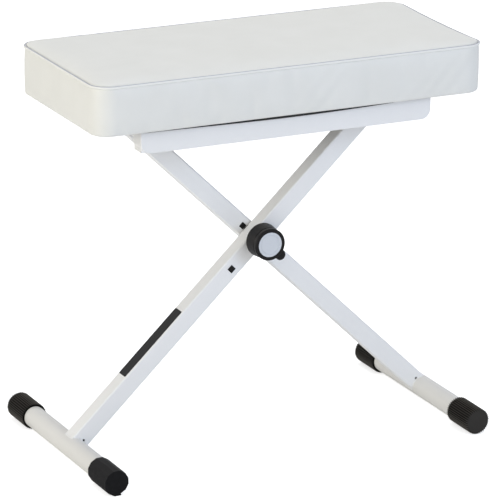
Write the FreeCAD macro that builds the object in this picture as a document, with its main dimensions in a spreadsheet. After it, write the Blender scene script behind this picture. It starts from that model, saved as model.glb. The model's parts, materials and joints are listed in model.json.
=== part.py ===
import FreeCAD, Part
import os

import Sketcher

# Folding keyboard bench: a padded seat on two crossing legs.
# Frame: +X to the right along the seat, +Y to the back, +Z up.
# The origin is on the floor, under the middle of the bench. Sizes are millimetres.

SIZES = {
    # How far a cutter passes beyond the face that it opens
    "over": 1.0,
    # Seat
    "seat_long": 580.0,
    "seat_deep": 261.0,
    "seat_corner": 27.0,
    "boxing_high": 67.7,
    "boxing_bulge": 1.5,
    "crown_high": 7.4,
    "crown_reach": 92.0,
    "cover_sheet": 1.2,
    "foam_play": 0.7,
    "welt_radius": 2.05,
    "welt_play": 0.1,
    "cover_hem": 24.0,
    "board_thick": 12.0,
    "board_play": 0.5,
    "dust_sheet": 0.6,
    "dust_inset": 8.0,
    "staple_long": 10.0,
    "staple_thin": 1.0,
    "staple_high": 0.5,
    "staple_inset": 4.0,
    # Crossing legs
    "leg_angle": 43.85,
    "lower_arm": 384.2,
    "upper_arm": 265.8,
    "leg_wide": 26.5,
    "leg_deep": 24.3,
    "leg_wall": 1.5,
    "leg_corner": 2.5,
    "leg_gap": 3.2,
    "leg_trim": 4.0,
    "hole_side": 8.1,
    "square_play": 0.2,
    "square_lip": 0.5,
    "front_spare_hole": 57.4,
    "rear_spare_hole": 16.0,
    "drain_radius": 2.0,
    "drain_out": 1.4,
    "drain_side": 2.5,
    "weld_gap": 0.1,
    # Cross tubes at the feet and under the seat
    "foot_radius": 15.2,
    "foot_wall": 1.5,
    "foot_half": 166.8,
    "left_foot_shift": 0.6,
    "right_foot_shift": 7.8,
    "top_radius": 12.5,
    "top_wall": 1.5,
    "top_half": 84.0,
    "plug_long": 15.0,
    "plug_play": 0.1,
    "journal_radius": 8.0,
    "journal_long": 19.0,
    "journal_play": 0.05,
    "glide_radius": 15.2,
    "glide_long": 22.0,
    "glide_bevel": 0.8,
    "collar_long": 2.0,
    # Rails under the seat
    "rail_half": 217.4,
    "rail_deep": 24.2,
    "rail_setback": 20.0,
    "rail_sheet": 1.5,
    "rail_corner": 14.0,
    "rail_bend": 1.4,
    "rail_play": 0.3,
    "block_left": 11.6,
    "block_right": 16.0,
    "block_play": 0.2,
    "stop_long": 12.0,
    "stop_high": 16.0,
    "stop_wide": 19.7,
    "rise_angle": 4.0,
    "stop_play": 0.5,
    "screw_radius": 2.9,
    "screw_play": 0.3,
    "screw_head": 5.4,
    "screw_head_high": 3.2,
    "screw_first": -135.0,
    "screw_step": 235.0,
    "insert_radius": 4.5,
    "insert_play": 0.1,
    "screw_short": 1.0,
    # Feet
    "cap_radius": 18.6,
    "cap_core": 17.1,
    "cap_long": 57.0,
    "cap_end": 2.6,
    "cap_play": 0.2,
    "cap_bevel": 1.1,
    "rib_half": 1.4,
    "rib_tip": 0.25,
    "rib_sink": 0.4,
    "cam_step": 3.0,
    "cam_play": 0.08,
    "cam_gap": 0.3,
    # Clamp at the crossing
    "bolt_radius": 4.0,
    "bolt_play": 0.05,
    "bolt_head": 10.0,
    "bolt_head_high": 4.4,
    "bolt_bevel": 0.8,
    "neck_long": 4.0,
    "disc_radius": 12.0,
    "disc_sheet": 1.0,
    "tooth_high": 0.35,
    "tooth_half": 0.55,
    "tooth_inset": 1.5,
    "tooth_sink": 0.1,
    "cup_radius": 16.0,
    "cup_barrel": 13.5,
    "cup_tip": 12.0,
    "cup_long": 8.7,
    "cup_wall": 1.6,
    "knob_back": 24.1,
    "knob_front": 22.5,
    "knob_long": 27.0,
    "knob_plate": 7.0,
    "knob_groove": 1.2,
    "knob_edge": 0.9,
    "lobe_out": 23.3,
    "lobe_radius": 7.4,
    "lobe_angle": 46.0,
    "inlay_radius": 17.4,
    "inlay_deep": 1.6,
    "inlay_play": 0.15,
    "inlay_sink": 0.3,
    "inlay_border": 3.4,
    "inlay_notch": 0.5,
    "nut_radius": 9.4,
    "nut_long": 8.0,
    "nut_play": 0.15,
    "bolt_end": 21.0,
    "bolt_room": 0.5,
}

RIBS = 36
FACETS = 12
TEETH = 18
DOME_STEPS = 4
SCREWS_PER_RAIL = 2
WELT_SIDES = 8
STAPLES_LONG = 12
STAPLES_DEEP = 5
CAM_START = -72.0
CROWN_SHARES = (0.0, 0.08, 0.32, 1.0)
CROWN_POWER = 2.6
CROWN_TIGHTEN = 0.6
NEAR = 0.01

doc = FreeCAD.newDocument("folding_bench")
sheet = doc.addObject("Spreadsheet::Sheet", "sizes")
for row, (alias, value) in enumerate(SIZES.items(), start=1):
    sheet.set(f"A{row}", str(value))
    sheet.setAlias(f"A{row}", alias)
doc.recompute()

# Formulas that several pieces share, written as expressions of the sheet
SIN = "sin(sizes.leg_angle * 1deg)"
COS = "cos(sizes.leg_angle * 1deg)"
FOOT_X = f"(sizes.lower_arm * {COS})"
PIVOT_Z = f"(sizes.cap_radius + sizes.lower_arm * {SIN})"
TOP_X = f"(sizes.upper_arm * {COS})"
TOP_Z = f"({PIVOT_Z} + sizes.upper_arm * {SIN})"
RAIL_HALF_HIGH = "(sizes.glide_radius + sizes.rail_play + sizes.rail_sheet)"
UNDERSIDE = f"({TOP_Z} + {RAIL_HALF_HIGH})"
RAIL_OUT = "(sizes.seat_deep / 2 - sizes.rail_setback)"
LEG_FACE = "(sizes.leg_gap / 2 + sizes.leg_deep)"
LEG_MID = "(sizes.leg_gap / 2 + sizes.leg_deep / 2)"
KNOB_BACK_Y = f"({LEG_FACE} + sizes.cup_long)"
KNOB_FRONT_Y = f"({KNOB_BACK_Y} + sizes.knob_long)"
BOARD_Z = f"({UNDERSIDE} + sizes.dust_sheet + sizes.cover_sheet)"
SEAM_Z = f"({UNDERSIDE} + sizes.boxing_high)"

parts = []


def num(text):
    """The value of an expression of the sheet."""
    value = sheet.evalExpression(text)
    return float(getattr(value, "Value", value))


def new_body(label):
    body = doc.addObject("PartDesign::Body", label)
    body.Label = label
    parts.append(body)
    return body


def shape_part(label, shape):
    """A piece whose shape comes from Part's own functions."""
    piece = doc.addObject("Part::Feature", label)
    piece.Label = label
    piece.Shape = shape
    parts.append(piece)
    return piece


def origin_feature(body, role):
    return [item for item in body.Origin.OriginFeatures if item.Role == role][0]


def new_sketch(body, role, shift=None):
    """A sketch on one of the body's own planes, moved along its normal by an expression."""
    sketch = body.newObject("Sketcher::SketchObject", body.Label + "_sketch")
    sketch.AttachmentSupport = [(origin_feature(body, role), "")]
    sketch.MapMode = "FlatFace"
    if shift:
        sketch.setExpression("AttachmentOffset.Base.z", shift)
    return sketch


def fix(sketch, kind, vertex, text):
    """Ties one coordinate of a point to an expression."""
    value = num(text)
    geometry, end = vertex
    if abs(value) < 1e-9:
        axis = -2 if kind == "DistanceX" else -1
        sketch.addConstraint(Sketcher.Constraint("PointOnObject", geometry, end, axis))
        return
    index = sketch.addConstraint(Sketcher.Constraint(kind, -1, 1, geometry, end, value))
    sketch.setExpression(f"Constraints[{index}]", text)


def polygon(sketch, corners):
    """A closed outline whose corners are pairs of expressions."""
    points = [FreeCAD.Vector(num(x), num(y), 0) for x, y in corners]
    first = sketch.GeometryCount
    for start, end in zip(points, points[1:] + points[:1]):
        sketch.addGeometry(Part.LineSegment(start, end), False)
    count = len(points)
    for number in range(count):
        ends = (first + number, 2, first + (number + 1) % count, 1)
        sketch.addConstraint(Sketcher.Constraint("Coincident", *ends))
    for number, (x, y) in enumerate(corners):
        fix(sketch, "DistanceX", (first + number, 1), x)
        fix(sketch, "DistanceY", (first + number, 1), y)


def box_outline(sketch, low_x, high_x, low_y, high_y):
    polygon(sketch, [(low_x, low_y), (high_x, low_y), (high_x, high_y), (low_x, high_y)])


def circle(sketch, radius, x="0", y="0"):
    centre = FreeCAD.Vector(num(x), num(y), 0)
    index = sketch.addGeometry(Part.Circle(centre, FreeCAD.Vector(0, 0, 1), num(radius)), False)
    fix(sketch, "DistanceX", (index, 3), x)
    fix(sketch, "DistanceY", (index, 3), y)
    size = sketch.addConstraint(Sketcher.Constraint("Radius", index, num(radius)))
    sketch.setExpression(f"Constraints[{size}]", radius)


def pad(body, sketch, length, both=False, back=False):
    feature = body.newObject("PartDesign::Pad", body.Label + "_pad")
    feature.Profile = sketch
    feature.SideType = "Symmetric" if both else "One side"
    feature.Reversed = back
    feature.setExpression("Length", length)
    return feature


def pocket(body, sketch, length, both=False, back=False):
    feature = body.newObject("PartDesign::Pocket", body.Label + "_pocket")
    feature.Profile = sketch
    feature.SideType = "Symmetric" if both else "One side"
    feature.Reversed = back
    feature.setExpression("Length", length)
    return feature


def fillet(body, base, radius, wanted):
    """Rounds the edges of the last feature that pass the test."""
    doc.recompute()
    names = []
    for number, edge in enumerate(base.Shape.Edges, start=1):
        if wanted(edge):
            names.append(f"Edge{number}")
    feature = body.newObject("PartDesign::Fillet", body.Label + "_fillet")
    feature.Base = (base, names)
    feature.setExpression("Radius", radius)
    return feature


def turned(label, corners):
    """A piece turned about the Y axis: corners are radius and place along Y."""
    body = new_body(label)
    sketch = new_sketch(body, "XY_Plane")
    polygon(sketch, corners)
    feature = body.newObject("PartDesign::Revolution", label + "_turn")
    feature.Profile = sketch
    feature.ReferenceAxis = (sketch, ["V_Axis"])
    feature.Angle = 360
    return body


def polar(body, original, count):
    feature = body.newObject("PartDesign::PolarPattern", body.Label + "_pattern")
    feature.Originals = [original]
    feature.Axis = (origin_feature(body, "Y_Axis"), [""])
    feature.Angle = 360
    feature.Occurrences = count
    body.Tip = feature
    return feature


def place(piece, x="0", y="0", z="0", turn=0.0, axis=(0, 1, 0)):
    rotation = FreeCAD.Rotation(FreeCAD.Vector(*axis), turn)
    piece.Placement = FreeCAD.Placement(FreeCAD.Vector(num(x), num(y), num(z)), rotation)


def rounded_wire(long, deep, corner, z):
    """A level rectangle with round corners, centred on the Z axis."""
    half_x = long / 2
    half_y = deep / 2
    edges = []
    turns = [(1, -1), (1, 1), (-1, 1), (-1, -1)]
    centres = [FreeCAD.Vector(sx * (half_x - corner), sy * (half_y - corner), z) for sx, sy in turns]
    up = FreeCAD.Vector(0, 0, 1)
    for number, centre in enumerate(centres):
        start = -90 + 90 * number
        edges.append(Part.Arc(Part.Circle(centre, up, corner), *angles(start, start + 90)).toShape())
    corners = []
    for number, arc in enumerate(edges):
        after = edges[(number + 1) % len(edges)]
        corners.append(arc)
        corners.append(Part.LineSegment(arc.Vertexes[-1].Point, after.Vertexes[0].Point).toShape())
    return Part.Wire(corners)


def angles(*degrees):
    return [FreeCAD.Units.Quantity(f"{value} deg").getValueAs("rad").Value for value in degrees]


def rounded_slab(long, deep, corner, z, thick):
    face = Part.Face(rounded_wire(long, deep, corner, z))
    return face.extrude(FreeCAD.Vector(0, 0, thick))


def group(label, solids):
    """Identical fasteners share one node as separate solids."""
    return shape_part(label, Part.makeCompound(solids))


def cylinder(radius, length, x, y, z, direction=(0, 0, 1)):
    return Part.makeCylinder(radius, length, FreeCAD.Vector(x, y, z), FreeCAD.Vector(*direction))


# Cushion: boxing with a slight bulge, a crowned top and a welt along the seam
def boxing_form(inset, low, high):
    """The cushion's sides, with a slight bulge, drawn in by an even inset."""
    long = num("sizes.seat_long") - 2 * inset
    deep = num("sizes.seat_deep") - 2 * inset
    corner = num("sizes.seat_corner") - inset
    bulge = num("sizes.boxing_bulge")
    levels = [
        rounded_wire(long - bulge, deep - bulge, corner, low),
        rounded_wire(long + bulge, deep + bulge, corner, (low + high) / 2),
        rounded_wire(long, deep, corner, high),
    ]
    return Part.makeLoft(levels, True, True)


def crown_form(seam):
    """The padded top panel: it draws in along a curve that steepens towards the seam."""
    long = num("sizes.seat_long")
    deep = num("sizes.seat_deep")
    corner = num("sizes.seat_corner")
    levels = []
    for share in CROWN_SHARES:
        drawn = num("sizes.crown_reach") * share
        height = num("sizes.crown_high") * (1 - (1 - share) ** CROWN_POWER)
        tight = corner * (1 - CROWN_TIGHTEN * share)
        levels.append(rounded_wire(long - 2 * drawn, deep - 2 * drawn, tight, seam + height))
    return Part.makeLoft(levels, True, True)


def polygon_wire(radius, centre, normal):
    """A section with WELT_SIDES sides, square to the normal, with a corner at the top."""
    up = FreeCAD.Vector(0, 0, radius)
    points = []
    for number in range(WELT_SIDES + 1):
        turn = FreeCAD.Rotation(normal, 360 / WELT_SIDES * number)
        points.append(centre + turn.multVec(up))
    return Part.makePolygon(points)


def welt_ring(extra):
    """The piping along the seam, thickened by a play where it is used as a cutter."""
    radius = num("sizes.welt_radius") + extra
    corner = num("sizes.seat_corner")
    half_x = num("sizes.seat_long") / 2
    half_y = num("sizes.seat_deep") / 2
    seam = num(SEAM_Z)
    pieces = []
    for sx, sy in ((1, 1), (-1, 1), (-1, -1), (1, -1)):
        start = FreeCAD.Vector(sx * (half_x - corner), sy * half_y, seam)
        section = Part.Face(polygon_wire(radius, start, FreeCAD.Vector(1, 0, 0)))
        centre = FreeCAD.Vector(sx * (half_x - corner), sy * (half_y - corner), seam)
        pieces.append(section.revolve(centre, FreeCAD.Vector(0, 0, -sx * sy), 90))
    for side in (1, -1):
        along_x = 2 * (half_x - corner)
        along_y = 2 * (half_y - corner)
        for start, run in (
            (FreeCAD.Vector(-along_x / 2, side * half_y, seam), FreeCAD.Vector(along_x, 0, 0)),
            (FreeCAD.Vector(side * half_x, -along_y / 2, seam), FreeCAD.Vector(0, along_y, 0)),
        ):
            pieces.append(Part.Face(polygon_wire(radius, start, run)).extrude(run))
    return pieces[0].fuse(pieces[1:])


def make_cushion():
    sheet_thick = num("sizes.cover_sheet")
    base = num(f"{UNDERSIDE} + sizes.dust_sheet")
    seam = num(SEAM_Z)
    long = num("sizes.seat_long")
    deep = num("sizes.seat_deep")
    corner = num("sizes.seat_corner")
    hem = num("sizes.cover_hem")
    groove = welt_ring(num("sizes.welt_play"))

    outside = boxing_form(0, base, seam)
    inside = boxing_form(sheet_thick, base + sheet_thick, seam)
    opening = rounded_slab(long - 2 * hem, deep - 2 * hem, corner / 2, base, sheet_thick)
    shape_part("cover_boxing", outside.cut(inside).cut(opening).cut(groove))
    shape_part("cover_top", crown_form(seam).cut(groove))
    shape_part("cover_welt", welt_ring(0))

    inset = num("sizes.cover_sheet + sizes.foam_play")
    low = num(f"{BOARD_Z} + sizes.board_thick")
    high = seam - num("sizes.foam_play")
    block = rounded_slab(long - 2 * inset, deep - 2 * inset, corner - inset, low, high - low)
    shape_part("seat_foam", block)


def screw_places():
    first = num("sizes.screw_first")
    step = num("sizes.screw_step")
    across = num(f"{RAIL_OUT} - sizes.rail_deep / 2")
    columns = [first + step * number for number in range(SCREWS_PER_RAIL)]
    return [(x, y) for y in (-across, across) for x in columns]


def make_board():
    """Plywood board with the threaded inserts that take the rail screws."""
    inset = num("sizes.cover_sheet + sizes.board_play + sizes.boxing_bulge")
    long = num("sizes.seat_long") - 2 * inset
    deep = num("sizes.seat_deep") - 2 * inset
    corner = num("sizes.seat_corner") - inset
    low = num(BOARD_Z)
    thick = num("sizes.board_thick")
    barrel = num("sizes.insert_radius")
    play = num("sizes.screw_play")
    fit = num("sizes.insert_play")
    shank = num("sizes.screw_radius")
    board = rounded_slab(long, deep, corner, low, thick)
    inserts = []
    for x, y in screw_places():
        board = board.cut(cylinder(barrel + fit, thick, x, y, low))
        insert = cylinder(barrel, thick, x, y, low)
        inserts.append(insert.cut(cylinder(shank + fit, thick, x, y, low)))
    shape_part("seat_board", board)
    group("board_inserts", inserts)

    dust_inset = num("sizes.dust_inset")
    long = num("sizes.seat_long") - 2 * dust_inset
    deep = num("sizes.seat_deep") - 2 * dust_inset
    dust = num("sizes.dust_sheet")
    under = num(UNDERSIDE)
    cloth = rounded_slab(long, deep, corner - dust_inset / 2, under, dust)
    for x, y in screw_places():
        cloth = cloth.cut(cylinder(shank + play, dust, x, y, under))
    shape_part("dust_cover", cloth)

    # Staples lie along the dust cover's edge, under the hem
    bar_long = num("sizes.staple_long")
    bar_thin = num("sizes.staple_thin")
    bar_high = num("sizes.staple_high")
    edge = dust_inset + num("sizes.staple_inset")
    x_far = num("sizes.seat_long") / 2 - edge
    y_far = num("sizes.seat_deep") / 2 - edge
    x_reach = x_far - num("sizes.seat_corner")
    y_reach = y_far - num("sizes.seat_corner")
    bars = []
    for number in range(STAPLES_LONG):
        x = -x_reach + 2 * x_reach * number / (STAPLES_LONG - 1)
        for y in (-y_far, y_far):
            corner_point = FreeCAD.Vector(x - bar_long / 2, y - bar_thin / 2, under - bar_high)
            bars.append(Part.makeBox(bar_long, bar_thin, bar_high, corner_point))
    for number in range(STAPLES_DEEP):
        y = -y_reach + 2 * y_reach * number / (STAPLES_DEEP - 1)
        for x in (-x_far, x_far):
            corner_point = FreeCAD.Vector(x - bar_thin / 2, y - bar_long / 2, under - bar_high)
            bars.append(Part.makeBox(bar_thin, bar_long, bar_high, corner_point))
    group("dust_cover_staples", bars)


def make_screws():
    """Pan head screws through the rails' top flanges into the board's inserts."""
    flange_low = num(f"{UNDERSIDE} - sizes.rail_sheet")
    head = num("sizes.screw_head")
    high = num("sizes.screw_head_high")
    shank = num("sizes.screw_radius")
    reach = num(f"{BOARD_Z} + sizes.board_thick - sizes.screw_short") - flange_low
    screws = []
    for x, y in screw_places():
        cap = cylinder(head, high, x, y, flange_low - high)
        screws.append(cap.fuse(cylinder(shank, reach, x, y, flange_low)))
    group("rail_screws", screws)


# Rails: pressed channels that open inwards, closed at the left end and open at the right
def make_rail(label, side):
    """One rail. Side is -1 for the front rail and 1 for the rear one."""
    body = new_body(label)
    out = f"({side} * {RAIL_OUT})"
    low = f"({UNDERSIDE} - 2 * {RAIL_HALF_HIGH})"
    # The XZ plane's normal is -Y, so the shift is the place along Y with its sign turned
    profile = new_sketch(body, "XZ_Plane", f"-{out}")
    box_outline(profile, "-sizes.rail_half", "sizes.rail_half", low, UNDERSIDE)
    block = pad(body, profile, "sizes.rail_deep", back=(side < 0))
    low_z = num(low)
    face_y = num(out)
    rounded = fillet(body, block, "sizes.rail_corner",
                     lambda edge: abs(edge.BoundBox.ZMax - low_z) < NEAR and edge.BoundBox.XLength < NEAR)
    fillet(body, rounded, "sizes.rail_bend",
           lambda edge: abs(edge.BoundBox.YMin - face_y) < NEAR and edge.BoundBox.YLength < NEAR)
    web_in = f"({side} * ({RAIL_OUT} - sizes.rail_sheet))"
    hollow = new_sketch(body, "XZ_Plane", f"-{web_in}")
    left = "(-sizes.rail_half + sizes.rail_sheet)"
    right = "(sizes.rail_half + sizes.over)"
    floor = f"({low} + sizes.rail_sheet)"
    roof = f"({UNDERSIDE} - sizes.rail_sheet)"
    bend = "(sizes.rail_corner - sizes.rail_sheet)"
    # The bend's two slanted facets keep the sheet's thickness round the lower left corner
    box_outline(hollow, left, right, floor, roof)
    pocket(body, hollow, "sizes.rail_deep", back=(side > 0))
    corner = new_sketch(body, "XZ_Plane", f"-{web_in}")
    polygon(corner, [
        (left, floor),
        (f"({left} + {bend})", floor),
        (f"({left} + {bend} * (1 - cos(45deg)))", f"({floor} + {bend} * (1 - cos(45deg)))"),
        (left, f"({floor} + {bend})"),
    ])
    pad(body, corner, "sizes.rail_deep - sizes.rail_sheet", back=(side < 0))
    for x, y in screw_places():
        if y * side < 0:
            continue
        hole = new_sketch(body, "XY_Plane", f"{UNDERSIDE} + sizes.over")
        number = round((x - num("sizes.screw_first")) / num("sizes.screw_step"))
        column = f"(sizes.screw_first + sizes.screw_step * {number})"
        circle(hole, "sizes.screw_radius + sizes.screw_play", column,
               f"({side} * ({RAIL_OUT} - sizes.rail_deep / 2))")
        pocket(body, hole, "sizes.rail_sheet + 2 * sizes.over")
    return body


def make_pivot_block(label, side):
    """The moulded block in the rail's left end that carries the fixed top tube."""
    body = new_body(label)
    out = f"({side} * ({RAIL_OUT} - sizes.rail_sheet - sizes.block_play))"
    profile = new_sketch(body, "XZ_Plane", f"-{out}")
    half_high = f"({RAIL_HALF_HIGH} - sizes.rail_sheet - sizes.block_play)"
    box_outline(profile, f"(-{TOP_X} - sizes.block_left)", f"(-{TOP_X} + sizes.block_right)",
                f"({TOP_Z} - {half_high})", f"({TOP_Z} + {half_high})")
    circle(profile, "sizes.journal_radius + sizes.journal_play", f"-{TOP_X}", TOP_Z)
    pad(body, profile, "sizes.rail_deep - sizes.rail_sheet - 2 * sizes.block_play", back=(side < 0))
    return body


def make_travel_stop(label, side):
    """The stop block that ends the sliding tube's travel at the highest seat."""
    body = new_body(label)
    high_angle = "((sizes.leg_angle + sizes.rise_angle) * 1deg)"
    far = (f"(2 * sizes.upper_arm * cos{high_angle} - {TOP_X}"
           " - sizes.glide_radius - sizes.stop_play)")
    floor = f"({UNDERSIDE} - 2 * {RAIL_HALF_HIGH} + sizes.rail_sheet)"
    out = f"({side} * ({RAIL_OUT} - sizes.rail_sheet - sizes.block_play))"
    profile = new_sketch(body, "XZ_Plane", f"-{out}")
    polygon(profile, [
        (f"({far} - sizes.stop_long)", floor),
        (far, floor),
        (far, f"({floor} + sizes.stop_high)"),
        (f"({far} - sizes.stop_long / 2)", f"({floor} + sizes.stop_high)"),
    ])
    pad(body, profile, "sizes.stop_wide", back=(side < 0))
    return body


# Legs: built along their own X axis, with the crossing at the origin and the foot at -X
def make_leg(label, spare_hole):
    body = new_body(label)
    section = new_sketch(body, "YZ_Plane", "-sizes.lower_arm")
    half_y = "(sizes.leg_deep / 2)"
    half_z = "(sizes.leg_wide / 2)"
    box_outline(section, f"-{half_y}", half_y, f"-{half_z}", half_z)
    bar = pad(body, section, "sizes.lower_arm + sizes.upper_arm - sizes.leg_trim")
    fillet(body, bar, "sizes.leg_corner", lambda edge: edge.BoundBox.XLength > num("sizes.upper_arm"))
    bore = new_sketch(body, "YZ_Plane", "-sizes.lower_arm - sizes.over")
    inner_y = "(sizes.leg_deep / 2 - sizes.leg_wall)"
    inner_z = "(sizes.leg_wide / 2 - sizes.leg_wall)"
    box_outline(bore, f"-{inner_y}", inner_y, f"-{inner_z}", inner_z)
    pocket(body, bore, "sizes.lower_arm + sizes.upper_arm + 2 * sizes.over", back=True)
    through = "sizes.leg_deep + 2 * sizes.over"
    foot = new_sketch(body, "XZ_Plane")
    circle(foot, "sizes.foot_radius + sizes.weld_gap", "-sizes.lower_arm")
    pocket(body, foot, through, both=True)
    top = new_sketch(body, "XZ_Plane")
    circle(top, "sizes.top_radius + sizes.weld_gap", "sizes.upper_arm")
    pocket(body, top, through, both=True)
    for place_x in ("0", spare_hole):
        hole = new_sketch(body, "XZ_Plane")
        half = "sizes.hole_side / 2"
        box_outline(hole, f"({place_x} - {half})", f"({place_x} + {half})", f"(-{half})", f"({half})")
        pocket(body, hole, through, both=True)
    drain = new_sketch(body, "XZ_Plane", "sizes.leg_deep / 2 + sizes.over")
    circle(drain, "sizes.drain_radius", "-sizes.lower_arm + sizes.foot_radius + sizes.drain_out",
           "-sizes.drain_side")
    pocket(body, drain, "sizes.leg_wall + 1.5 * sizes.over")
    return body


def make_cross_tube(label, radius, wall, half):
    inner = f"({radius} - {wall})"
    return turned(label, [(inner, f"-{half}"), (radius, f"-{half}"), (radius, half), (inner, half)])


def leg_place(piece, front):
    side = -1 if front else 1
    turn = -num("sizes.leg_angle") if front else num("sizes.leg_angle") - 180
    place(piece, "0", f"{side} * {LEG_MID}", PIVOT_Z, turn)


def make_hole_plugs(label, spare_hole, front):
    """Square press-in plugs that close a spare hole in both walls of a leg."""
    side = num("sizes.hole_side - sizes.square_play")
    wall = num("sizes.leg_wall")
    half = num("sizes.leg_deep") / 2
    rim = num("sizes.square_lip")
    lip = num("sizes.hole_side + sizes.square_lip")
    x = num(spare_hole)
    plugs = []
    for sign in (-1, 1):
        low_y = sign * half if sign < 0 else half - wall
        stem = Part.makeBox(side, wall, side, FreeCAD.Vector(x - side / 2, low_y, -side / 2))
        lip_y = -half - rim if sign < 0 else half
        if (sign > 0) == front:
            # The lip would rub on the other leg, so the inner plug is flush
            plugs.append(stem)
            continue
        cap = Part.makeBox(lip, rim, lip, FreeCAD.Vector(x - lip / 2, lip_y, -lip / 2))
        plugs.append(stem.fuse(cap))
    piece = group(label, plugs)
    leg_place(piece, front)
    return piece


def make_end_plug_pair(label, corners, x):
    """Two moulded plugs for the ends of a top tube: corners are for the one at +Y."""
    outline = [FreeCAD.Vector(num(r), num(y), 0) for r, y in corners]
    wire = Part.makePolygon(outline + outline[:1])
    plug = Part.Face(wire).revolve(FreeCAD.Vector(0, 0, 0), FreeCAD.Vector(0, 1, 0), 360)
    other = plug.mirror(FreeCAD.Vector(0, 0, 0), FreeCAD.Vector(0, 1, 0))
    piece = group(label, [plug, other])
    place(piece, x, "0", TOP_Z)
    return piece


# Rubber feet
def make_ribbed_cap(label, x, end_y, side):
    """A cup over the tube's end with sharp ribs along it: its mouth is at Y 0."""
    bore = "(sizes.foot_radius + sizes.cap_play)"
    deep = "(sizes.cap_long - sizes.cap_end)"
    rim = "(sizes.cap_core - sizes.cap_bevel)"
    body = turned(label, [
        (bore, "0"),
        ("sizes.cap_core", "0"),
        ("sizes.cap_core", "(sizes.cap_long - sizes.cap_bevel)"),
        (rim, "sizes.cap_long"),
        ("0", "sizes.cap_long"),
        ("0", deep),
        (bore, deep),
    ])
    rib = new_sketch(body, "XZ_Plane")
    root = "(sizes.rib_sink - sizes.cap_core)"
    polygon(rib, [
        ("-sizes.rib_half", root),
        ("-sizes.rib_tip", "-sizes.cap_radius"),
        ("sizes.rib_tip", "-sizes.cap_radius"),
        ("sizes.rib_half", root),
    ])
    tooth = pad(body, rib, "sizes.cap_long - sizes.cap_bevel", back=True)
    polar(body, tooth, RIBS)
    place(body, x, end_y, "sizes.cap_radius", 0 if side > 0 else 180, (0, 0, 1))
    return body


def make_levelling_cap(label):
    """A snail cam over the tube's end: turning it changes its height by a facet at a time."""
    body = new_body(label)
    mouth = "(sizes.left_foot_shift - sizes.foot_half - sizes.cap_end + sizes.cap_long)"
    lowest = f"cos({CAM_START + 90 - 360 / FACETS}deg)"
    high = f"(sizes.cap_radius / {lowest} + sizes.cam_step / {FACETS})"
    outline = new_sketch(body, "XZ_Plane", f"-{mouth}")
    corners = []
    for number in range(FACETS + 1):
        turn = CAM_START - 360 / FACETS * number
        radius = f"({high} - sizes.cam_step * {number} / {FACETS})"
        x = f"(-{FOOT_X} + {radius} * cos({turn}deg))"
        z = f"(sizes.cap_radius + {radius} * sin({turn}deg))"
        corners.append((x, z))
    polygon(outline, corners)
    pad(body, outline, "sizes.cap_long")
    bore = new_sketch(body, "XZ_Plane", f"-{mouth} - sizes.over")
    circle(bore, "sizes.foot_radius + sizes.cam_play", f"-{FOOT_X}", "sizes.cap_radius")
    pocket(body, bore, "sizes.cap_long - sizes.cap_end + sizes.over + sizes.cam_gap", back=True)
    return body


# Clamp at the crossing
def make_pivot_bolt():
    """A dome head bolt whose square neck sits in the rear leg's square hole."""
    tip = f"(-{KNOB_BACK_Y} - sizes.bolt_end)"
    back = LEG_FACE
    # The dome is a quarter of an ellipse in DOME_STEPS flats
    dome = []
    for number in range(1, DOME_STEPS + 1):
        turn = f"({90 / DOME_STEPS * number}deg)"
        dome.append((f"(sizes.bolt_head * cos{turn})", f"({back} + sizes.bolt_head_high * sin{turn})"))
    body = turned("pivot_bolt", [
        ("0", tip),
        ("sizes.bolt_radius - sizes.bolt_bevel", tip),
        ("sizes.bolt_radius", f"({tip} + sizes.bolt_bevel)"),
        ("sizes.bolt_radius", back),
        ("sizes.bolt_head", back),
    ] + dome)
    neck = new_sketch(body, "XZ_Plane", f"-{back}")
    half = "(sizes.hole_side / 2 - sizes.bolt_play)"
    box_outline(neck, f"-{half}", half, f"-{half}", half)
    pad(body, neck, "sizes.neck_long")
    place(body, "0", "0", PIVOT_Z, num("sizes.leg_angle") - 180)
    return body


def make_lock_disc(label, front):
    """A steel disc with radial teeth, held against the leg it belongs to."""
    side = -1 if front else 1
    far = f"({side} * sizes.leg_gap / 2)"
    near = f"({side} * (sizes.leg_gap / 2 - sizes.disc_sheet))"
    bore = "(sizes.bolt_radius + sizes.bolt_play)"
    body = turned(label, [(bore, far), ("sizes.disc_radius", far), ("sizes.disc_radius", near),
                          (bore, near)])
    tooth = new_sketch(body, "YZ_Plane", "sizes.bolt_radius + sizes.tooth_inset")
    crest = f"({side} * (sizes.leg_gap / 2 - sizes.disc_sheet - sizes.tooth_high))"
    root = f"({side} * (sizes.leg_gap / 2 - sizes.disc_sheet + sizes.tooth_sink))"
    polygon(tooth, [(root, "-sizes.tooth_half"), (root, "sizes.tooth_half"), (crest, "0")])
    ridge = pad(body, tooth, "sizes.disc_radius - sizes.bolt_radius - 1.5 * sizes.tooth_inset")
    polar(body, ridge, TEETH)
    place(body, "0", "0", PIVOT_Z)
    return body


def make_pressure_cup():
    """The stepped steel cup between the knob and the front leg."""
    leg = f"(-{LEG_FACE})"
    knob = f"(-{KNOB_BACK_Y})"
    bore = "(sizes.bolt_radius + sizes.bolt_play)"
    body = turned("pressure_cup", [
        (bore, leg),
        ("sizes.cup_tip", leg),
        ("sizes.cup_barrel", f"({knob} + sizes.cup_wall)"),
        ("sizes.cup_radius", f"({knob} + sizes.cup_wall)"),
        ("sizes.cup_radius", knob),
        (bore, knob),
    ])
    place(body, "0", "0", PIVOT_Z)
    return body


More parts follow.
